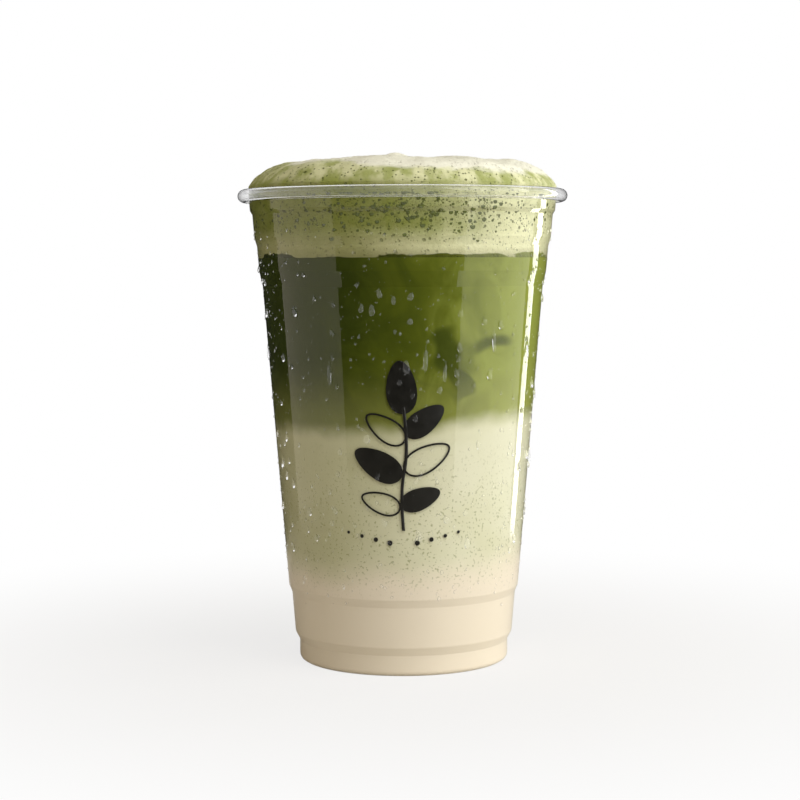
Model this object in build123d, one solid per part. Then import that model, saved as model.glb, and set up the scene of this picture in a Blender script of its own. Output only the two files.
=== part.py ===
from build123d import *

import math
import os

# An iced drink in a clear thin-walled cup, in millimetres, +Z up, with the origin on the table
# under the middle of the cup.

# Cup: overall sizes and the sheet it is formed from.
CUP_HEIGHT = 138.9  # table to the top of the rolled rim
FOOT_RADIUS = 31.0  # outside of the foot
WALL = 0.45  # thickness of the side, the floor and the rolled rim
SIDE_DRAFT = 0.0815  # how much the side widens for each millimetre of height

# Cup: the foot and the raised middle of the floor.
FOOT_CORNER = 1.6  # rounding where the foot meets the table
FOOT_RING = 3.4  # width of the foot, from its outside to the raised middle's slope
FLOOR_RISE = 1.3  # height of the raised middle above the table
FLOOR_SLOPE = 1.6  # run of the slope up to the raised middle
FLOOR_ROUNDING = 0.5

# Cup: ledges formed round the side. Each steps the side outwards by STEP over a height of RISE.
# The two low ones are placed from the table, the three high ones from the top of the rim.
HEEL_HEIGHT = 6.0
HEEL_RISE = 2.4
HEEL_STEP = 1.3
ANKLE_HEIGHT = 20.1
ANKLE_RISE = 2.3
ANKLE_STEP = 0.9
SHOULDER_DROP = 28.1
SHOULDER_RISE = 4.4
SHOULDER_STEP = 1.0
NECK_DROP = 16.4
NECK_RISE = 2.4
NECK_STEP = 0.75
COLLAR_DROP = 7.2
COLLAR_RISE = 1.2
COLLAR_STEP = 0.7
LEDGE_ROUNDING = 0.6  # rounding of a ledge's two corners
HEEL_CREASE = 0.2  # the heel meets the foot in a sharp crease
HEEL_ROUNDING = 1.6  # and turns up into the side in a wide round

# Cup: the rim, rolled outwards into a hollow bead.
LIP_RADIUS = 1.85  # outside radius of the rolled bead's section
LIP_SWEEP = 285.0  # degrees that the sheet turns through, from the side over the top

# Drink: the layers, from the floor up.
MILK_LEVEL = 30.0  # table to the top of the plain milk
MATCHA_DEPTH = 48.0  # thickness of the strong matcha under the foam
FOAM_DROP = 20.0  # from the top of the rim down to the foam's underside

# Foam: the uneven dome that stands above the rim.
FOAM_EDGE_LIFT = 0.7  # the foam's edge above the top of the rim
FOAM_DOME = 8.6  # middle of the dome above its edge
FOAM_FULLNESS = 5.0  # power of the dome's fall towards its edge: higher is flatter on top
PEAK_HEIGHT = 2.6  # small peak left in the middle
PEAK_SPREAD = 4.5
DIMPLE_DEPTH = 1.0  # shallow hollow round the peak
DIMPLE_SPREAD = 15.0
LUMP_HEIGHT = 0.45  # gentle lumps all over
LUMP_PITCH = 21.0
EDGE_OVERRUN = 1.1  # the dome stops falling this far past the cup's side, as a share of its radius
SURFACE_STEPS = 21  # points each way that the foam's surface is drawn through
SURFACE_TOLERANCE = 0.05
ROOM_ABOVE = 20.0  # how far the space for the foam reaches above the rim


def ledges():
    """Each ledge from the foot up, as its lower height, its rise and its step."""
    return [
        (HEEL_HEIGHT, HEEL_RISE, HEEL_STEP),
        (ANKLE_HEIGHT, ANKLE_RISE, ANKLE_STEP),
        (CUP_HEIGHT - SHOULDER_DROP, SHOULDER_RISE, SHOULDER_STEP),
        (CUP_HEIGHT - NECK_DROP, NECK_RISE, NECK_STEP),
        (CUP_HEIGHT - COLLAR_DROP, COLLAR_RISE, COLLAR_STEP),
    ]


def ledge_roundings():
    """Rounding of each ledge's lower and upper corner, from the foot up."""
    plain_ledges = len(ledges()) - 1
    return [HEEL_CREASE, HEEL_ROUNDING] + [LEDGE_ROUNDING] * 2 * plain_ledges


def side_corners():
    """Radius and height of each corner of the side's outer line, two for each ledge.

    The foot stands upright and the side above it widens with the draft.
    """
    corners = []
    radius = FOOT_RADIUS
    top = 0.0
    for height, rise, step in ledges():
        if corners:
            radius += SIDE_DRAFT * (height - top)
        corners.append((radius, height))
        radius += step
        top = height + rise
        corners.append((radius, top))
    return corners


def side_radius(height):
    """Outer radius of the side's topmost stretch, at a height above its last ledge."""
    radius, top = side_corners()[-1]
    return radius + SIDE_DRAFT * (height - top)


def outline(inset):
    """The cup's line in section, from the middle of the floor out and up to where the rim rolls over.

    An inset of nothing gives the outside, and an inset of the wall's thickness gives the inside.
    """
    ring_inside = FOOT_RADIUS - FOOT_RING
    top = CUP_HEIGHT - LIP_RADIUS
    corners = [(radius - inset, height) for radius, height in side_corners()]
    points = [
        (0, FLOOR_RISE + inset),
        (ring_inside - FLOOR_SLOPE, FLOOR_RISE + inset),
        (ring_inside, inset),
        (FOOT_RADIUS - inset, inset),
        *corners,
        (side_radius(top) - inset, top),
    ]
    roundings = [FLOOR_ROUNDING, FLOOR_ROUNDING, FOOT_CORNER - inset, *ledge_roundings()]
    return FilletPolyline(*points, radius=roundings)


def turned_under(line):
    """The solid swept by the area between a section line and the cup's axis."""
    start, end = line @ 0, line @ 1
    closing = Polyline((end.X, end.Y), (0, end.Y), (0, start.Y))
    area = make_face(Curve() + [line, closing])
    return revolve(Plane.XZ * area, Axis.Z)


def mouth_radius():
    """Inner radius of the cup where its rim starts to roll over."""
    return side_radius(CUP_HEIGHT - LIP_RADIUS) - WALL


def rolled_lip():
    """The sheet at the rim, rolled over outwards and tucked back towards the side."""
    centre = (mouth_radius() + LIP_RADIUS, CUP_HEIGHT - LIP_RADIUS)
    middle = CenterArc(centre, LIP_RADIUS - WALL / 2, 180, -LIP_SWEEP)
    band = trace(middle, line_width=WALL)
    return revolve(Plane.XZ * band, Axis.Z)


def make_cup():
    """The cup: a thin side and floor, with its rim rolled over."""
    shell = turned_under(outline(0)) - turned_under(outline(WALL))
    return shell + rolled_lip()


def filling_space(ceiling):
    """Everything inside the cup, carried straight up through its mouth to a ceiling."""
    mouth_height = CUP_HEIGHT - LIP_RADIUS
    upright = (Align.CENTER, Align.CENTER, Align.MIN)
    over_mouth = Cylinder(mouth_radius(), ceiling - mouth_height, align=upright)
    return turned_under(outline(WALL)) + Pos(0, 0, mouth_height) * over_mouth


def slab(low, high):
    """A wide block between two heights, to cut one layer out of what fills the cup."""
    width = 4 * side_radius(CUP_HEIGHT)
    return Pos(0, 0, low) * Box(width, width, high - low, align=(Align.CENTER, Align.CENTER, Align.MIN))


def foam_height(x, y):
    """Height of the foam's surface over a place on the table."""
    out = math.hypot(x, y)
    fall = min(out / mouth_radius(), EDGE_OVERRUN) ** FOAM_FULLNESS
    dome = CUP_HEIGHT + FOAM_EDGE_LIFT + FOAM_DOME * (1 - fall)
    dimple = DIMPLE_DEPTH * math.exp(-((out / DIMPLE_SPREAD) ** 2))
    peak = PEAK_HEIGHT * math.exp(-((out / PEAK_SPREAD) ** 2))
    turn = 2 * math.pi / LUMP_PITCH
    lumps = LUMP_HEIGHT * math.sin(turn * x) * math.cos(turn * (y + x / 3))
    return dome - dimple + peak + lumps * (1 - min(fall, 1))


def space_under_foam_surface():
    """Everything under the foam's surface, out past the cup's side."""
    reach = mouth_radius() * EDGE_OVERRUN
    steps = [reach * (2 * i / (SURFACE_STEPS - 1) - 1) for i in range(SURFACE_STEPS)]
    grid = [[Vector(x, y, foam_height(x, y)) for y in steps] for x in steps]
    surface = Face.make_surface_from_array_of_points(grid, tol=SURFACE_TOLERANCE, min_deg=3)
    return extrude(surface, amount=CUP_HEIGHT, dir=(0, 0, -1))


def make_layers():
    """The drink's layers, each filling the cup between two levels, and the foam on top."""
    foam_line = CUP_HEIGHT - FOAM_DROP
    matcha_line = foam_line - MATCHA_DEPTH
    ceiling = CUP_HEIGHT + ROOM_ABOVE
    filling = filling_space(ceiling)
    return {
        "milk": filling & slab(0, MILK_LEVEL),
        "milky_matcha": filling & slab(MILK_LEVEL, matcha_line),
        "matcha": filling & slab(matcha_line, foam_line),
        "foam": filling & slab(foam_line, ceiling) & space_under_foam_surface(),
    }


def main():
    os.makedirs("parts", exist_ok=True)
    export_step(make_cup(), "parts/cup.step")
    for node, layer in make_layers().items():
        export_step(layer, f"parts/{node}.step")


main()
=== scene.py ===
import math
import random

import bmesh
import bpy
from mathutils import Matrix, Vector
from mathutils import noise as relief


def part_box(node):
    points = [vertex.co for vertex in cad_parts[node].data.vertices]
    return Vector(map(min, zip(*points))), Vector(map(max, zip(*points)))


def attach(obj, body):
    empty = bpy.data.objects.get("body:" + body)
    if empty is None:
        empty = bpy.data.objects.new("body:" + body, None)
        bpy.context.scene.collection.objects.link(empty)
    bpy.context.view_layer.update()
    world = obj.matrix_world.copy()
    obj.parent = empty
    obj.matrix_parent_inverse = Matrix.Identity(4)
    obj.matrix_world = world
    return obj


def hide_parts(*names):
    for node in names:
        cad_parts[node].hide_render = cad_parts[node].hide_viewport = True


# An iced matcha latte in a clear thin-walled cup, in metres, +Z up, with the print towards -Y.

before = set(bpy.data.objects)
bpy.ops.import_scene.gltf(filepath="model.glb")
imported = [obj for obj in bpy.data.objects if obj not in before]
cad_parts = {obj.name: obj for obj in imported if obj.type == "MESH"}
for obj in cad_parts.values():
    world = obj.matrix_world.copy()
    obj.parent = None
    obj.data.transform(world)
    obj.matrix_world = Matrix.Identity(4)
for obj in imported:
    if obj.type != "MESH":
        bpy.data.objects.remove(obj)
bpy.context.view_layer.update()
MM = 0.001

# Cup: the inside of its sheet, from the middle of the floor up to where the rim rolls over.
CUP_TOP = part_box("cup")[1][2]
WALL = 0.45 * MM
FOOT_RADIUS = 31.0 * MM
SIDE_DRAFT = 0.0815
FLOOR_RISE = 1.3 * MM
FOOT_RING = 3.4 * MM
FLOOR_SLOPE = 1.6 * MM
LIP_RADIUS = 1.85 * MM
LIP_SWEEP = math.radians(285)
SIDES = 256
DRINK_SIDES = 192
PLASTIC_IOR = 1.5
WATER_IOR = 1.33

# Drink: heights of the layers.
MILK_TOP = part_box("milk")[1][2]
BLEND_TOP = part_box("milky_matcha")[1][2]
MATCHA_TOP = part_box("matcha")[1][2]
REACH = 0.08 * MM  # how far the drink reaches into the cup's wall

# Camera: at the eye height and distance that show the rim almost edge on.
CAMERA_PLACE = (-0.9 * MM, -571 * MM, 116.5 * MM)
CAMERA_LENS = 86.6
CAMERA_DIP = 3.98  # degrees below level
CAMERA_ROLL = -0.17

draw = random.Random(7)


def hold_nothing():
    if bpy.context.object and bpy.context.object.mode != "OBJECT":
        bpy.ops.object.mode_set(mode="OBJECT")
    bpy.ops.object.select_all(action="DESELECT")


def pick(piece):
    hold_nothing()
    piece.select_set(True)
    bpy.context.view_layer.objects.active = piece


def apply_place(piece):
    pick(piece)
    bpy.ops.object.transform_apply(location=True, rotation=True, scale=True)


def apply_modifier(piece, kind, **values):
    pick(piece)
    modifier = piece.modifiers.new(kind.title(), kind)
    for name, value in values.items():
        setattr(modifier, name, value)
    bpy.ops.object.modifier_apply(modifier=modifier.name)


def smooth(piece, angle=None):
    pick(piece)
    if angle:
        bpy.ops.object.shade_smooth_by_angle(angle=math.radians(angle))
    else:
        bpy.ops.object.shade_smooth()


def settle(piece, slot, material, *replaced):
    piece.data.materials.clear()
    piece.data.materials.append(material)
    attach(piece, "root")
    if replaced:
        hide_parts(*replaced)


# ---- shapes shared by the cup and the drink -------------------------------------------------

def ledges():
    """Lower height, rise, step, lower rounding and upper rounding of each ledge round the side."""
    return [
        (6.0 * MM, 2.4 * MM, 1.3 * MM, 0.2 * MM, 1.6 * MM),
        (20.1 * MM, 2.3 * MM, 0.9 * MM, 0.6 * MM, 0.6 * MM),
        (CUP_TOP - 28.1 * MM, 4.4 * MM, 1.0 * MM, 0.6 * MM, 0.6 * MM),
        (CUP_TOP - 16.4 * MM, 2.4 * MM, 0.75 * MM, 0.6 * MM, 0.6 * MM),
        (CUP_TOP - 7.2 * MM, 1.2 * MM, 0.7 * MM, 0.4 * MM, 0.4 * MM),
    ]


def inner_corners():
    """Corners of the inside of the cup as (radius, height, rounding)."""
    ring_inside = FOOT_RADIUS - FOOT_RING
    corners = [
        (ring_inside - FLOOR_SLOPE, FLOOR_RISE + WALL, 0.5 * MM),
        (ring_inside, WALL, 0.5 * MM),
        (FOOT_RADIUS - WALL, WALL, 1.15 * MM),
    ]
    radius, top, started = FOOT_RADIUS, 0.0, False
    for height, rise, step, low_round, high_round in ledges():
        if started:
            radius += SIDE_DRAFT * (height - top)
        started = True
        corners.append((radius - WALL, height, low_round))
        radius += step
        top = height + rise
        corners.append((radius - WALL, top, high_round))
    mouth = CUP_TOP - LIP_RADIUS
    radius += SIDE_DRAFT * (mouth - top)
    corners.append((radius - WALL, mouth, 0))
    return corners


def rounded(corners, steps=4):
    """The same line with its corners turned into arcs."""
    line = []
    for before, here, after in zip([None] + corners[:-1], corners, corners[1:] + [None]):
        spot = Vector(here[:2])
        if not here[2] or after is None:
            line.append(spot)
            continue
        start = Vector(before[:2]) if before else Vector((0, here[1]))
        into = (start - spot).normalized()
        out = (Vector(after[:2]) - spot).normalized()
        half_turn = (math.pi - into.angle(out)) / 2
        reach = here[2] * math.tan(half_turn)
        first, last = spot + into * reach, spot + out * reach
        for step in range(steps + 1):
            t = step / steps
            line.append(first * (1 - t) ** 2 + spot * 2 * t * (1 - t) + last * t ** 2)
    return line


INNER = rounded(inner_corners())
MOUTH_RADIUS, MOUTH_HEIGHT = INNER[-1]


def inner_radius(height):
    """Inner radius of the cup's side at a height."""
    side = [p for p in INNER if p[0] > FOOT_RADIUS - 1.7 * MM]
    for low, high in zip(side, side[1:]):
        if low[1] <= height <= high[1] and high[1] > low[1]:
            share = (height - low[1]) / (high[1] - low[1])
            return low[0] + share * (high[0] - low[0])
    return side[-1][0] if height > side[-1][1] else side[0][0]


def turned(name, section, sides=SIDES, closed=False):
    """A round piece drawn up from a ring, one ring for each point of its section."""
    hold_nothing()
    radius, height = section[0]
    bpy.ops.mesh.primitive_circle_add(
        vertices=sides, radius=radius, fill_type="TRIFAN", location=(0, 0, height))
    piece = bpy.context.object
    piece.name = name
    apply_place(piece)
    bpy.ops.object.mode_set(mode="EDIT")
    bpy.ops.mesh.select_mode(type="EDGE")
    bpy.ops.mesh.select_all(action="DESELECT")
    bpy.ops.mesh.select_non_manifold()
    for next_radius, next_height in section[1:]:
        bpy.ops.mesh.extrude_region_move(TRANSFORM_OT_translate={"value": (0, 0, next_height - height)})
        grow = next_radius / radius
        bpy.ops.transform.resize(value=(grow, grow, 1), center_override=(0, 0, next_height))
        radius, height = next_radius, next_height
    if closed:
        bpy.ops.mesh.extrude_region_move(TRANSFORM_OT_translate={"value": (0, 0, 0)})
        bpy.ops.mesh.merge(type="CENTER")
        bpy.ops.mesh.select_all(action="SELECT")
        bpy.ops.mesh.normals_make_consistent(inside=False)
    bpy.ops.object.mode_set(mode="OBJECT")
    return piece


# ---- node helpers ---------------------------------------------------------------------------

def blank_material(name):
    material = bpy.data.materials.new(name)
    material.use_nodes = True
    material.node_tree.nodes.clear()
    return material, material.node_tree.nodes, material.node_tree.links


def node(nodes, kind, **values):
    made = nodes.new(kind)
    for name, value in values.items():
        setattr(made, name, value)
    return made


def finish_with(tree, shader, kind="ShaderNodeOutputMaterial"):
    """Sends a finished shader to the material's or the world's surface."""
    output = tree.nodes.new(kind)
    tree.links.new(shader.outputs[0], output.inputs["Surface"])


def maths(tree, operation, a, b=None, clamp=False):
    made = tree.nodes.new("ShaderNodeMath")
    made.operation = operation
    made.use_clamp = clamp
    for socket, value in zip(made.inputs, (a, b)):
        if value is None:
            continue
        if isinstance(value, (int, float)):
            socket.default_value = value
        else:
            tree.links.new(value, socket)
    return made.outputs[0]


def times(tree, a, b):
    return maths(tree, "MULTIPLY", a, b)


def plus(tree, a, b, clamp=False):
    return maths(tree, "ADD", a, b, clamp)


def swing(tree, value, size, middle=0.5):
    """How far a value is from its middle, drawn out to a size."""
    return times(tree, maths(tree, "SUBTRACT", value, middle), size)


def spread(tree, value, low, high, out_low=0.0, out_high=1.0, soft=True):
    made = tree.nodes.new("ShaderNodeMapRange")
    made.interpolation_type = "SMOOTHSTEP" if soft else "LINEAR"
    tree.links.new(value, made.inputs["Value"])
    for name, number in zip(("From Min", "From Max", "To Min", "To Max"), (low, high, out_low, out_high)):
        made.inputs[name].default_value = number
    return made.outputs["Result"]


def noise(tree, place, scale, detail=3.0, rough=0.5, distortion=0.0):
    made = tree.nodes.new("ShaderNodeTexNoise")
    made.inputs["Scale"].default_value = scale
    made.inputs["Detail"].default_value = detail
    made.inputs["Roughness"].default_value = rough
    made.inputs["Distortion"].default_value = distortion
    tree.links.new(place, made.inputs["Vector"])
    return made.outputs["Fac"]


def stretched(tree, place, scale):
    made = tree.nodes.new("ShaderNodeMapping")
    made.inputs["Scale"].default_value = scale
    tree.links.new(place, made.inputs["Vector"])
    return made.outputs["Vector"]


def blend(tree, share, first, second):
    made = tree.nodes.new("ShaderNodeMix")
    made.data_type = "RGBA"
    if isinstance(share, float):
        made.inputs["Factor"].default_value = share
    else:
        tree.links.new(share, made.inputs["Factor"])
    for socket, colour in ((made.inputs[6], first), (made.inputs[7], second)):
        if isinstance(colour, tuple):
            socket.default_value = (*colour, 1)
        else:
            tree.links.new(colour, socket)
    return made.outputs[2]


# Colours of the drink, linear.
MILK = (0.86, 0.79, 0.65)
PALE_BLEND = (0.73, 0.74, 0.55)
# Matcha in painted shade, plain, and in painted light, blended across the cup.
MATCHA_PAINTED_SHADE = (0.034, 0.050, 0.0015)
MATCHA_MID = (0.095, 0.120, 0.006)
MATCHA_PAINTED_LIGHT = (0.27, 0.32, 0.055)
FOAM_PALE = (0.75, 0.77, 0.48)
FOAM_GREEN = (0.20, 0.235, 0.035)
# The foam in painted shade.
FOAM_PAINTED_SHADE = (0.30, 0.31, 0.10)
FROTH_WHITE = (0.88, 0.89, 0.76)
CLOUD_GREEN = (0.42, 0.44, 0.13)
DUST_GREEN = (0.20, 0.23, 0.05)
# The pale blend in painted shade.
BLEND_PAINTED_SHADE = (0.36, 0.37, 0.14)
THIN_MATCHA = (0.36, 0.39, 0.11)
SKIRT_GREEN = (0.27, 0.32, 0.06)
BUBBLE_DARK = (0.075, 0.095, 0.012)
FILM_DARK = (0.040, 0.055, 0.005)
FILM_LIGHT = (0.13, 0.16, 0.025)

# Colours of the print.
INK_BLACK = (0.004, 0.004, 0.003)
INK_WORN = (0.012, 0.012, 0.009)

# Where one colour of the drink turns into the next, as the heights where that starts and ends.
MILK_FADE = (0.025, 0.037)
MATCHA_FADE = (0.0680, 0.0745)
FOAM_FOOT = (0.1188, 0.1192)
FROTH_LINE = (0.1432, 0.1450)
SWELL_HEIGHT = 0.009  # slow waves in those heights round the cup
RIPPLE_HEIGHT = 0.003  # and quick ones
LAYER_TILT = 0.0022  # rise or fall of the heights from the middle to one side
DUST_STRENGTH = 0.55
DRINK_HALF_WIDTH = 0.042
FOAM_HALF_WIDTH = 0.045


def drink_body_group():
    """Colour of the whole drink over its height, so that one layer runs into the next."""
    tree = bpy.data.node_groups.new("drink_body", "ShaderNodeTree")
    tree.interface.new_socket("Place", in_out="INPUT", socket_type="NodeSocketVector")
    tree.interface.new_socket("Colour", in_out="OUTPUT", socket_type="NodeSocketColor")
    place = tree.nodes.new("NodeGroupInput").outputs["Place"]
    axes = tree.nodes.new("ShaderNodeSeparateXYZ")
    tree.links.new(place, axes.inputs[0])
    x, _, z = axes.outputs

    across = times(tree, x, 1 / DRINK_HALF_WIDTH)
    swell = noise(tree, stretched(tree, place, (1, 1, 0.6)), 38, 2.0)
    ripple = noise(tree, place, 150, 3.0, 0.55)
    drift = plus(tree, swing(tree, swell, SWELL_HEIGHT), swing(tree, ripple, RIPPLE_HEIGHT))
    tilt = times(tree, across, LAYER_TILT)
    height = maths(tree, "SUBTRACT", plus(tree, z, drift), tilt)

    # Milk into the pale blend, with matcha dust hanging in the blend.
    milkiness = spread(tree, height, *MILK_FADE)
    dust = noise(tree, place, 1400, 1.0, 0.4)
    dust = spread(tree, dust, 0.62, 0.70)
    where = times(tree, spread(tree, z, 0.020, 0.034), spread(tree, z, 0.074, 0.046))
    dust = times(tree, times(tree, dust, where), DUST_STRENGTH)
    cloud = spread(tree, noise(tree, place, 60, 4.0, 0.55), 0.35, 0.7, 0.0, 0.14)
    low = blend(tree, milkiness, MILK, PALE_BLEND)
    low = blend(tree, times(tree, cloud, milkiness), low, CLOUD_GREEN)
    low = blend(tree, dust, low, DUST_GREEN)
    # Painted shade: the milky blend darkens towards one side (-X).
    painted_blend_side_shade = times(tree, milkiness, spread(tree, across, 0.35, -0.6, 0.0, 0.45))
    low = blend(tree, painted_blend_side_shade, low, BLEND_PAINTED_SHADE)

    # The strong matcha: painted shade makes it darkest towards one side and painted light makes the other
    # side lighter, marbled where the milk rises into it.
    marble = noise(tree, stretched(tree, place, (1, 1, 0.7)), 70, 5.0, 0.55, 1.2)
    side = plus(tree, across, swing(tree, marble, 1.1))
    green = blend(tree, spread(tree, side, -0.55, 0.25), MATCHA_PAINTED_SHADE, MATCHA_MID)
    green = blend(tree, spread(tree, side, 0.05, 0.85), green, MATCHA_PAINTED_LIGHT)
    # Painted shade: dark pockets in the matcha, in the painted shade colour, standing in for ice against
    # the wall.
    painted_pocket_shade = noise(tree, stretched(tree, place, (1, 1, 1.8)), 46, 1.0, 0.4, 0.5)
    painted_pocket_shade = times(tree, spread(tree, painted_pocket_shade, 0.60, 0.66), spread(tree, z, 0.070, 0.080))
    painted_pocket_shade = times(tree, painted_pocket_shade, spread(tree, z, 0.112, 0.098, 0.0, 0.8))
    green = blend(tree, painted_pocket_shade, green, MATCHA_PAINTED_SHADE)
    thin = spread(tree, height, 0.092, 0.071, 0.0, 0.40)
    green = blend(tree, thin, green, THIN_MATCHA)
    top = blend(tree, spread(tree, height, *MATCHA_FADE), low, green)

    made = tree.nodes.new("NodeGroupOutput")
    tree.links.new(top, made.inputs["Colour"])
    return tree


def froth_group():
    """Bubbles of many sizes over a foam surface: a mask of the bubbles and a height."""
    tree = bpy.data.node_groups.new("froth", "ShaderNodeTree")
    tree.interface.new_socket("Place", in_out="INPUT", socket_type="NodeSocketVector")
    tree.interface.new_socket("Bubbles", in_out="OUTPUT", socket_type="NodeSocketFloat")
    tree.interface.new_socket("Height", in_out="OUTPUT", socket_type="NodeSocketFloat")
    place = tree.nodes.new("NodeGroupInput").outputs["Place"]
    masks = []
    for scale, small, large in ((520, 0.10, 0.22), (1150, 0.16, 0.30)):
        cells = tree.nodes.new("ShaderNodeTexVoronoi")
        cells.inputs["Scale"].default_value = scale
        tree.links.new(place, cells.inputs["Vector"])
        colour = tree.nodes.new("ShaderNodeSeparateColor")
        tree.links.new(cells.outputs["Color"], colour.inputs[0])
        size = spread(tree, colour.outputs[0], 0.3, 1.0, small, large * 1.15)
        inside = maths(tree, "DIVIDE", cells.outputs["Distance"], size)
        some = spread(tree, colour.outputs[1], 0.35, 0.45)
        masks.append(times(tree, spread(tree, inside, 1.15, 0.75), some))
    both = maths(tree, "MAXIMUM", *masks)
    made = tree.nodes.new("NodeGroupOutput")
    tree.links.new(both, made.inputs["Bubbles"])
    grain = noise(tree, place, 900, 3.0, 0.6)
    relief_height = maths(tree, "SUBTRACT", times(tree, grain, 0.5), both)
    tree.links.new(relief_height, made.inputs["Height"])
    return tree


DRINK_BODY = drink_body_group()
FROTH = froth_group()


def placed_group(tree, group, place):
    made = tree.nodes.new("ShaderNodeGroup")
    made.node_tree = group
    tree.links.new(place, made.inputs["Place"])
    return made


def drink_material(name):
    material, nodes, links = blank_material(name)
    tree = material.node_tree
    place = node(nodes, "ShaderNodeTexCoord").outputs["Object"]
    body = placed_group(tree, DRINK_BODY, place)
    shader = node(nodes, "ShaderNodeBsdfPrincipled")
    shader.inputs["Specular IOR Level"].default_value = 0.1
    links.new(body.outputs["Colour"], shader.inputs["Base Color"])
    links.new(spread(tree, noise(tree, place, 90), 0.3, 0.7, 0.55, 0.75), shader.inputs["Roughness"])
    finish_with(tree, shader)
    return material


def foam_material():
    """Green foam behind the wall, greener where it is loose, with a white froth cap."""
    material, nodes, links = blank_material("matcha_foam")
    tree = material.node_tree
    place = node(nodes, "ShaderNodeTexCoord").outputs["Object"]
    axes = node(nodes, "ShaderNodeSeparateXYZ")
    links.new(place, axes.inputs[0])
    x, _, z = axes.outputs
    across = times(tree, x, 1 / FOAM_HALF_WIDTH)
    froth = placed_group(tree, FROTH, place)
    patches = noise(tree, stretched(tree, place, (1, 1, 1.6)), 55, 4.0, 0.6, 0.6)
    streaks = noise(tree, stretched(tree, place, (1, 1, 0.35)), 160, 3.0, 0.6)

    # How green the foam is: a loose green band high in the cup, pale at its foot.
    band = times(tree, spread(tree, z, 0.1215, 0.1285), spread(tree, z, 0.1425, 0.1372))
    lean = spread(tree, across, -0.2, 0.95, 0.85, 0.12)
    green = plus(tree, times(tree, band, lean), swing(tree, patches, 1.3))
    green = plus(tree, green, swing(tree, streaks, 0.5), clamp=True)
    # Painted shade: the foam darkens towards one side (-X), less so high up.
    painted_foam_side_shade = spread(tree, across, 0.45, -0.45, 0.0, 0.75)
    shade = times(tree, painted_foam_side_shade, spread(tree, z, 0.1425, 0.1375, 0.25, 1.0))
    colour = blend(tree, shade, FOAM_PALE, FOAM_PAINTED_SHADE)
    colour = blend(tree, green, colour, FOAM_GREEN)

    # The skirt of the dome is streaked green, and above a ragged line the froth is white.
    skirt = times(tree, spread(tree, z, 0.1375, 0.1395), spread(tree, streaks, 0.40, 0.62, 0.0, 0.75))
    colour = blend(tree, skirt, colour, SKIRT_GREEN)
    ragged = plus(tree, plus(tree, z, swing(tree, patches, 0.007)), times(tree, across, LAYER_TILT))
    cap = spread(tree, ragged, *FROTH_LINE)
    colour = blend(tree, cap, colour, FROTH_WHITE)

    # Dark bubbles, fewer in the white froth and towards the foot of the foam.
    bubbles = times(tree, froth.outputs["Bubbles"], spread(tree, cap, 0.9, 0.1, 0.10, 1.0))
    bubbles = times(tree, bubbles, spread(tree, z, 0.1195, 0.1290, 0.25, 0.8))
    colour = blend(tree, bubbles, colour, BUBBLE_DARK)

    # The matcha laps up a little way into the foam.
    foot = plus(tree, z, swing(tree, patches, 0.006, middle=0.6))
    body = placed_group(tree, DRINK_BODY, place)
    colour = blend(tree, spread(tree, foot, *FOAM_FOOT), body.outputs["Colour"], colour)

    shader = node(nodes, "ShaderNodeBsdfPrincipled")
    shader.inputs["Specular IOR Level"].default_value = 0.25
    links.new(colour, shader.inputs["Base Color"])
    links.new(spread(tree, froth.outputs["Bubbles"], 0, 1, 0.62, 0.3), shader.inputs["Roughness"])
    bump = node(nodes, "ShaderNodeBump")
    bump.inputs["Strength"].default_value = 0.8
    bump.inputs["Distance"].default_value = 0.0006
    links.new(froth.outputs["Height"], bump.inputs["Height"])
    links.new(bump.outputs[0], shader.inputs["Normal"])
    finish_with(tree, shader)
    return material


def clear_material(name, ior, ripple_scale, ripple, rough=(0.0, 0.03)):
    """Clear plastic or water, which lets the lamps through to the drink behind it."""
    material, nodes, links = blank_material(name)
    tree = material.node_tree
    place = node(nodes, "ShaderNodeTexCoord").outputs["Object"]
    shader = node(nodes, "ShaderNodeBsdfPrincipled")
    shader.inputs["Transmission Weight"].default_value = 1
    shader.inputs["IOR"].default_value = ior
    uneven = noise(tree, place, ripple_scale, 2.0)
    links.new(spread(tree, uneven, 0.2, 0.8, *rough), shader.inputs["Roughness"])
    shader.inputs["Base Color"].default_value = (1, 1, 1, 1)
    bump = node(nodes, "ShaderNodeBump")
    bump.inputs["Strength"].default_value = ripple
    bump.inputs["Distance"].default_value = 0.0005
    links.new(uneven, bump.inputs["Height"])
    links.new(bump.outputs[0], shader.inputs["Normal"])
    open_air = node(nodes, "ShaderNodeBsdfTransparent")
    path = node(nodes, "ShaderNodeLightPath")
    passing = maths(tree, "MAXIMUM", path.outputs["Is Shadow Ray"], path.outputs["Is Diffuse Ray"])
    mix = node(nodes, "ShaderNodeMixShader")
    links.new(passing, mix.inputs[0])
    links.new(shader.outputs[0], mix.inputs[1])
    links.new(open_air.outputs[0], mix.inputs[2])
    finish_with(tree, mix)
    return material


def ink_material():
    material, nodes, links = blank_material("print_ink")
    tree = material.node_tree
    place = node(nodes, "ShaderNodeTexCoord").outputs["Object"]
    shader = node(nodes, "ShaderNodeBsdfPrincipled")
    wear = noise(tree, place, 420, 3.0)
    links.new(blend(tree, wear, INK_BLACK, INK_WORN), shader.inputs["Base Color"])
    links.new(spread(tree, wear, 0.2, 0.8, 0.35, 0.5), shader.inputs["Roughness"])
    finish_with(tree, shader)
    return material


# ---- cup ------------------------------------------------------------------------------------

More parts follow.
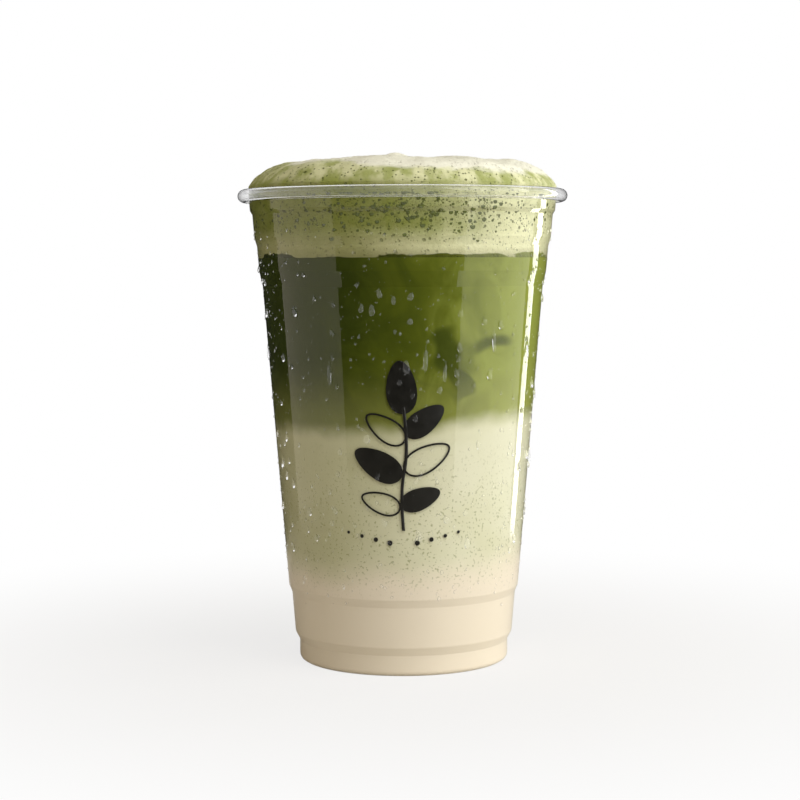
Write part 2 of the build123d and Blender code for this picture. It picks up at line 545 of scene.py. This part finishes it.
def make_cup():
    """The cup: its inside drawn up from the floor, rolled over at the rim, then given its thickness."""
    centre = Vector((MOUTH_RADIUS + LIP_RADIUS, MOUTH_HEIGHT))
    roll = []
    steps = 30
    for step in range(1, steps + 1):
        turn = math.pi - LIP_SWEEP * step / steps
        roll.append(centre + LIP_RADIUS * Vector((math.cos(turn), math.sin(turn))))
    cup = turned("clear_cup", INNER + roll)
    # The sheet's thickness goes on the side away from the drink.
    faces = cup.data.polygons
    outward = sum(1 for face in faces if face.normal.dot(Vector((face.center.x, face.center.y, 0))) > 0)
    apply_modifier(cup, "SOLIDIFY", thickness=WALL, offset=-1.0 if outward < len(faces) / 2 else 1.0)
    pick(cup)
    bpy.ops.object.mode_set(mode="EDIT")
    bpy.ops.mesh.select_all(action="SELECT")
    bpy.ops.mesh.normals_make_consistent(inside=False)
    bpy.ops.object.mode_set(mode="OBJECT")
    smooth(cup, 60)
    settle(cup, "clear_plastic", clear_material("clear_plastic", PLASTIC_IOR, 35, 0.012), "cup")


# ---- drink ----------------------------------------------------------------------------------

def layer_section(low, high):
    """The inside of the cup between two heights, reaching just into the wall."""
    inside = [(inner_radius(low) + REACH, low)]
    for radius, height in INNER:
        if low + 0.01 * MM < height < high - 0.01 * MM and radius > FOOT_RADIUS - 1.7 * MM:
            inside.append((radius + REACH, height))
    inside.append((inner_radius(high) + REACH, high))
    return inside


def make_layer(name, low, high, slot, finish, floor=False):
    """One layer of the drink between two heights, down into the foot where it lies on the floor."""
    section = layer_section(low, high)
    if floor:
        bend = 2 * WALL + FLOOR_RISE
        section = [(r + (REACH if r > FOOT_RADIUS - 2 * MM else 0), h - (REACH if h < bend else 0))
                   for r, h in INNER if h < high - 0.01 * MM]
        section.append((inner_radius(high) + REACH, high))
    piece = turned(name, section, DRINK_SIDES, closed=True)
    smooth(piece, 50)
    settle(piece, slot, finish, name.replace("_layer", ""))


def make_foam():
    """The foam: its side against the cup, and the dome that stands above the rim."""
    side = layer_section(MATCHA_TOP, MOUTH_HEIGHT)
    brim = [(MOUTH_RADIUS + 0.1 * MM, MOUTH_HEIGHT + 0.7 * MM),
            (MOUTH_RADIUS + 0.35 * MM, MOUTH_HEIGHT + 1.6 * MM),
            (MOUTH_RADIUS + 0.5 * MM, MOUTH_HEIGHT + 2.6 * MM)]
    dome = []
    edge_height = CUP_TOP + 0.9 * MM
    steps = 60
    for step in range(1, steps):
        share = math.cos(math.pi / 2 * step / steps)
        rise = 7.6 * MM * (1 - share ** 8)
        dome.append(((MOUTH_RADIUS + 0.45 * MM) * share, edge_height + rise))
    piece = turned("foam_layer", side + brim + dome, DRINK_SIDES, closed=True)
    lift_froth(piece)
    smooth(piece)
    settle(piece, "foam", foam_material(), "foam")


def lift_froth(piece):
    """Lumps, hollows and the small peak of the froth, as real relief above the rim."""
    for vertex in piece.data.vertices:
        spot = vertex.co
        above = min(max((spot.z - CUP_TOP) / (4 * MM), 0), 1)
        if not above:
            continue
        wide = relief.noise(Vector((spot.x, spot.y, 0)) / (13 * MM))
        fine = relief.fractal(Vector((spot.x, spot.y, spot.z)) / (4.5 * MM), 0.8, 2.1, 3)
        out = math.hypot(spot.x + 2.7 * MM, spot.y)
        peak = 2.9 * MM * math.exp(-((out / (5.5 * MM)) ** 2))
        ring = 1.0 * MM * math.exp(-(((out - 13 * MM) / (7 * MM)) ** 2))
        push = Vector((spot.x, spot.y, 0)).normalized() * fine * 0.22 * MM * above
        lift = above * (0.75 * MM * wide + 0.32 * MM * fine + peak - ring)
        vertex.co = spot + push + Vector((0, 0, lift))


# ---- condensation and bubbles ---------------------------------------------------------------

def joined(name, seed, places):
    """Copies of a small shape, each with its own mesh, joined as one piece."""
    copies = []
    for place in places:
        copy = seed.copy()
        copy.data = seed.data.copy()
        bpy.context.collection.objects.link(copy)
        copy.data.transform(place)
        copies.append(copy)
    bpy.data.objects.remove(seed)
    hold_nothing()
    for copy in copies:
        copy.select_set(True)
    bpy.context.view_layer.objects.active = copies[0]
    bpy.ops.object.join()
    piece = bpy.context.object
    piece.name = name
    return piece


def wall_place(angle, height, offset, width, tall, thick, lean=0.0):
    """Where and how large a small shape sits on the cup's side: x along it, z up it, -y outwards."""
    radius = inner_radius(height) + offset
    turn = Matrix.Rotation(angle, 4, "Z")
    slope = Matrix.Rotation(-math.atan(SIDE_DRAFT), 4, "X")
    sizes = Matrix.Diagonal((width, thick, tall, 1))
    return turn @ Matrix.Translation((0, -radius, height)) @ slope @ Matrix.Rotation(lean, 4, "Y") @ sizes


def water_bead(segments, rings):
    hold_nothing()
    bpy.ops.mesh.primitive_uv_sphere_add(
        segments=segments, ring_count=rings, radius=1, location=(0, 0, 0))
    bead = bpy.context.object
    for vertex in bead.data.vertices:
        heavy_foot = 1 - 0.24 * vertex.co.z
        vertex.co.x *= heavy_foot
        vertex.co.y *= heavy_foot if vertex.co.y < 0 else 0.35
    smooth(bead)
    return bead


def make_condensation():
    """Fine beads all over the outside of the cup, and larger drops and runs among them."""
    water = clear_material("condensation_water", WATER_IOR, 500, 0.05, rough=(0.0, 0.02))
    places = []
    for _ in range(2400):
        angle = draw.uniform(-math.pi, math.pi)
        height = CUP_TOP - 12 * MM - (CUP_TOP - 30 * MM) * draw.random() ** 1.1
        size = (0.15 + 0.38 * draw.random() ** 4) * MM
        if height < 22 * MM and draw.random() < 0.8:
            continue
        tall = size * draw.uniform(0.95, 1.5)
        places.append(wall_place(angle, height, WALL, size, tall, size * 0.55, draw.uniform(-0.3, 0.3)))
    beads = joined("condensation_beads", water_bead(8, 5), places)
    settle(beads, "water", water)

    places = []
    for _ in range(210):
        angle = draw.uniform(-math.pi, math.pi)
        height = draw.uniform(34 * MM, 116 * MM)
        size = draw.uniform(0.40, 0.95) * MM
        tall = size * draw.uniform(1.1, 2.4)
        places.append(wall_place(angle, height, WALL, size, tall, size * 0.55, draw.uniform(-0.35, 0.35)))
    for _ in range(16):
        angle = draw.uniform(-math.pi, math.pi)
        height = draw.uniform(60 * MM, 104 * MM)
        size = draw.uniform(0.45, 0.8) * MM
        tall = size * draw.uniform(4, 8)
        lean = draw.uniform(-0.08, 0.08)
        places.append(wall_place(angle, height, WALL, size, tall, size * 0.5, lean))
    drops = joined("condensation_drops", water_bead(16, 12), places)
    settle(drops, "water", water)


def make_bubbles():
    """Dark open bubbles in the foam, flat against the wall, and a few at the rim."""
    hold_nothing()
    bpy.ops.mesh.primitive_uv_sphere_add(segments=10, ring_count=6, radius=1, location=(0, 0, 0))
    bubble = bpy.context.object
    for vertex in bubble.data.vertices:
        # The film in the middle of each bubble is drawn in between its rims.
        middle = max(0.0, 1 - math.hypot(vertex.co.x, vertex.co.z) / 0.8)
        vertex.co.y *= 1 - 0.5 * middle
    smooth(bubble)
    places = []
    for _ in range(1700):
        angle = draw.gauss(0.05, 0.40) if draw.random() < 0.5 else draw.uniform(-math.pi, math.pi)
        height = min(max(draw.gauss(CUP_TOP - 7 * MM, 3.6 * MM), MATCHA_TOP + 2 * MM), CUP_TOP - 2.4 * MM)
        size = (0.11 + 0.80 * draw.random() ** 7) * MM
        places.append(wall_place(angle, height, REACH - 0.03 * MM, size, size, 0.10 * MM))
    bubbles = joined("foam_bubbles", bubble, places)
    material, nodes, links = blank_material("bubble_film")
    tree = material.node_tree
    place = node(nodes, "ShaderNodeTexCoord").outputs["Object"]
    shader = node(nodes, "ShaderNodeBsdfPrincipled")
    shade = noise(tree, place, 700, 2.0)
    links.new(blend(tree, shade, FILM_DARK, FILM_LIGHT), shader.inputs["Base Color"])
    links.new(spread(tree, shade, 0.2, 0.8, 0.12, 0.3), shader.inputs["Roughness"])
    finish_with(tree, shader)
    settle(bubbles, "foam", material)


# ---- print ----------------------------------------------------------------------------------

def leaf(length, width, outline=False):
    """A pointed leaf, flat on the table with its stalk end at the origin, solid or drawn in outline."""
    hold_nothing()
    bpy.ops.mesh.primitive_circle_add(vertices=40, radius=0.5, fill_type="NGON", location=(0, 0, 0))
    piece = bpy.context.object
    for vertex in piece.data.vertices:
        along = vertex.co.y + 0.5
        vertex.co = Vector((vertex.co.x * width * (1 - 0.35 * along) * 1.15, along * length, 0))
    if outline:
        bpy.ops.object.mode_set(mode="EDIT")
        bpy.ops.mesh.select_all(action="SELECT")
        bpy.ops.mesh.inset(thickness=0.55 * MM)
        bpy.ops.mesh.delete(type="FACE")
        bpy.ops.object.mode_set(mode="OBJECT")
    return piece


def bar(points, width):
    """A line of even width through points, flat."""
    hold_nothing()
    curve = bpy.data.curves.new("stalk", "CURVE")
    curve.dimensions = "3D"
    spline = curve.splines.new("NURBS")
    spline.points.add(len(points) - 1)
    for spot, point in zip(points, spline.points):
        point.co = (spot[0] * MM, spot[1] * MM, 0, 1)
    spline.order_u = 3
    spline.use_endpoint_u = True
    curve.resolution_u = 16
    curve.extrude = width / 2
    piece = bpy.data.objects.new("stalk", curve)
    bpy.context.collection.objects.link(piece)
    pick(piece)
    bpy.ops.object.convert(target="MESH")
    piece = bpy.context.object
    for i, vertex in enumerate(piece.data.vertices):
        side = 1 if vertex.co.z > 0 else -1
        vertex.co = Vector((vertex.co.x + side * width / 2, vertex.co.y, 0))
    return piece


def make_print():
    """A plain tea sprig over a saucer shape, printed black on the outside of the cup."""
    parts = []

    def put(piece, x, y, turn):
        turned_round = Matrix.Rotation(math.radians(turn), 4, "Z")
        piece.data.transform(Matrix.Translation((x * MM, y * MM, 0)) @ turned_round)
        parts.append(piece)

    parts.append(bar([(0, -21), (-1, -10), (1.5, 2), (0, 14)], 0.9 * MM))
    put(leaf(15 * MM, 8.5 * MM), 0, 12, 4)
    for x, y, turn, long, wide, drawn in (
        (0.6, 6, -52, 13, 7.2, False), (0.4, 4, 54, 13, 7.2, True),
        (0.2, -4, -62, 14.5, 8, True), (-0.6, -6, 60, 15, 8.4, False),
        (-0.8, -14, -70, 12, 6.6, False), (-0.8, -15, 72, 12, 6.6, True),
    ):
        put(leaf(long * MM, wide * MM, drawn), x, y, turn)
    for side in (-1, 1):
        for k in range(4):
            hold_nothing()
            bpy.ops.mesh.primitive_circle_add(
                vertices=20, radius=(0.75 - 0.1 * k) * MM, fill_type="NGON", location=(0, 0, 0))
            put(bpy.context.object, side * (4 + 4.2 * k), -24.5 + 0.9 * k, 0)
    hold_nothing()
    for part in parts:
        part.select_set(True)
    bpy.context.view_layer.objects.active = parts[0]
    bpy.ops.object.join()
    print_piece = bpy.context.object
    print_piece.name = "front_print"
    bpy.ops.object.mode_set(mode="EDIT")
    bpy.ops.mesh.select_all(action="SELECT")
    bpy.ops.mesh.remove_doubles(threshold=0.005 * MM)
    bpy.ops.mesh.quads_convert_to_tris()
    for _ in range(3):
        bpy.ops.mesh.select_all(action="DESELECT")
        work = bmesh.from_edit_mesh(print_piece.data)
        for edge in work.edges:
            edge.select_set(edge.calc_length() > 1.6 * MM)
        bmesh.update_edit_mesh(print_piece.data)
        bpy.ops.mesh.subdivide(number_cuts=1)
        bpy.ops.mesh.select_all(action="SELECT")
        bpy.ops.mesh.quads_convert_to_tris()
    bpy.ops.object.mode_set(mode="OBJECT")
    middle = 63.5 * MM
    for vertex in print_piece.data.vertices:
        height = middle + vertex.co.y
        radius = inner_radius(height) + WALL + 0.02 * MM
        angle = vertex.co.x / inner_radius(middle)
        vertex.co = Vector((radius * math.sin(angle), -radius * math.cos(angle), height))
    pick(print_piece)
    bpy.ops.object.mode_set(mode="EDIT")
    bpy.ops.mesh.select_all(action="SELECT")
    bpy.ops.mesh.normals_make_consistent(inside=False)
    bpy.ops.object.mode_set(mode="OBJECT")
    for face in print_piece.data.polygons:
        if face.normal.y > 0:
            face.flip()
    apply_modifier(print_piece, "SOLIDIFY", thickness=0.05 * MM, offset=0.0)
    settle(print_piece, "print_ink", ink_material())


# ---- stage ----------------------------------------------------------------------------------

def make_stage():
    """The pale floor, which keeps a soft shadow and turns white away from the cup."""
    hold_nothing()
    bpy.ops.mesh.primitive_circle_add(vertices=96, radius=6, fill_type="NGON", location=(0, 0, 0))
    floor = bpy.context.object
    floor.name = "floor"
    material, nodes, links = blank_material("pale_floor")
    tree = material.node_tree
    place = node(nodes, "ShaderNodeTexCoord").outputs["Object"]
    away = node(nodes, "ShaderNodeVectorMath", operation="LENGTH")
    links.new(place, away.inputs[0])
    share = spread(tree, away.outputs["Value"], 0.04, 0.24, 0.78, 1.0)
    path = node(nodes, "ShaderNodeLightPath")
    seen = maths(tree, "MAXIMUM", path.outputs["Is Camera Ray"], path.outputs["Is Transmission Ray"])
    matt = node(nodes, "ShaderNodeBsdfDiffuse")
    matt.inputs["Color"].default_value = (0.60, 0.58, 0.54, 1)
    white = node(nodes, "ShaderNodeEmission")
    mix = node(nodes, "ShaderNodeMixShader")
    links.new(maths(tree, "MULTIPLY", share, seen), mix.inputs[0])
    links.new(matt.outputs[0], mix.inputs[1])
    links.new(white.outputs[0], mix.inputs[2])
    # Gloss sees the floor only close to the cup, and past it the lamps that stand lower.
    gone = node(nodes, "ShaderNodeBsdfTransparent")
    beyond = spread(tree, away.outputs["Value"], 0.16, 0.24)
    shine = node(nodes, "ShaderNodeMixShader")
    links.new(maths(tree, "MULTIPLY", beyond, path.outputs["Is Glossy Ray"]), shine.inputs[0])
    links.new(mix.outputs[0], shine.inputs[1])
    links.new(gone.outputs[0], shine.inputs[2])
    finish_with(tree, shine)
    floor.data.materials.append(material)


def make_lamp(name, azimuth, distance, height, size, power, colour, glossy=True):
    light = bpy.data.lights.new(name, "AREA")
    light.shape = "RECTANGLE"
    light.size, light.size_y = size
    light.energy = power
    light.color = colour
    lamp = bpy.data.objects.new(name, light)
    bpy.context.collection.objects.link(lamp)
    turn = math.radians(azimuth)
    lamp.location = (distance * math.sin(turn), -distance * math.cos(turn), height)
    aim = Vector((0, 0, 0.075)) - lamp.location
    lamp.rotation_euler = aim.to_track_quat("-Z", "Y").to_euler()
    lamp.visible_camera = False
    lamp.visible_transmission = False
    lamp.visible_glossy = glossy


def make_world():
    world = bpy.data.worlds.new("studio")
    bpy.context.scene.world = world
    world.use_nodes = True
    nodes, links = world.node_tree.nodes, world.node_tree.links
    nodes.clear()
    tree = world.node_tree
    path = node(nodes, "ShaderNodeLightPath")
    soft = node(nodes, "ShaderNodeBackground")
    soft.inputs["Color"].default_value = (1.0, 0.81, 0.57, 1)
    soft.inputs["Strength"].default_value = 0.22
    white = node(nodes, "ShaderNodeBackground")
    white.inputs["Color"].default_value = (1, 1, 1, 1)
    dark = node(nodes, "ShaderNodeBackground")
    dark.inputs["Strength"].default_value = 0.02
    seen = maths(tree, "MAXIMUM", path.outputs["Is Camera Ray"], path.outputs["Is Transmission Ray"])
    first = node(nodes, "ShaderNodeMixShader")
    links.new(path.outputs["Is Glossy Ray"], first.inputs[0])
    links.new(soft.outputs[0], first.inputs[1])
    links.new(dark.outputs[0], first.inputs[2])
    second = node(nodes, "ShaderNodeMixShader")
    links.new(seen, second.inputs[0])
    links.new(first.outputs[0], second.inputs[1])
    links.new(white.outputs[0], second.inputs[2])
    finish_with(tree, second, "ShaderNodeOutputWorld")


def make_camera():
    data = bpy.data.cameras.new("camera")
    data.sensor_width = 36
    data.lens = CAMERA_LENS
    camera = bpy.data.objects.new("camera", data)
    bpy.context.collection.objects.link(camera)
    place = Matrix.Translation(CAMERA_PLACE)
    tipped = Matrix.Rotation(math.radians(90 - CAMERA_DIP), 4, "X")
    rolled = Matrix.Rotation(math.radians(CAMERA_ROLL), 4, "Z")
    camera.matrix_world = place @ tipped @ rolled
    bpy.context.scene.camera = camera


make_camera()
make_world()
make_lamp("key", 66, 1.1, 0.55, (1.4, 1.1), 13.2, (1.0, 0.995, 0.985))
make_lamp("sheen", 84, 1.1, -0.35, (1.7, 0.95), 6.0, (1.0, 0.99, 0.97))
make_lamp("card", -84, 1.0, -0.20, (1.25, 1.7), 5.2, (1.0, 0.9, 0.76))
make_lamp("edge", 128, 0.9, -0.1, (0.16, 1.5), 4.5, (1.0, 0.98, 0.95))
make_lamp("over", 25, 0.7, 1.3, (0.8, 0.8), 7.5, (1.0, 0.97, 0.92), glossy=False)
make_stage()

make_cup()
make_layer("milk_layer", 0.0, MILK_TOP, "milk", drink_material("milk"), floor=True)
make_layer("milky_matcha_layer", MILK_TOP, BLEND_TOP, "milky_matcha", drink_material("milky_matcha"))
make_layer("matcha_layer", BLEND_TOP, MATCHA_TOP, "matcha", drink_material("matcha"))
make_foam()
make_bubbles()
make_condensation()
make_print()

bpy.context.scene.view_settings.view_transform = "Standard"
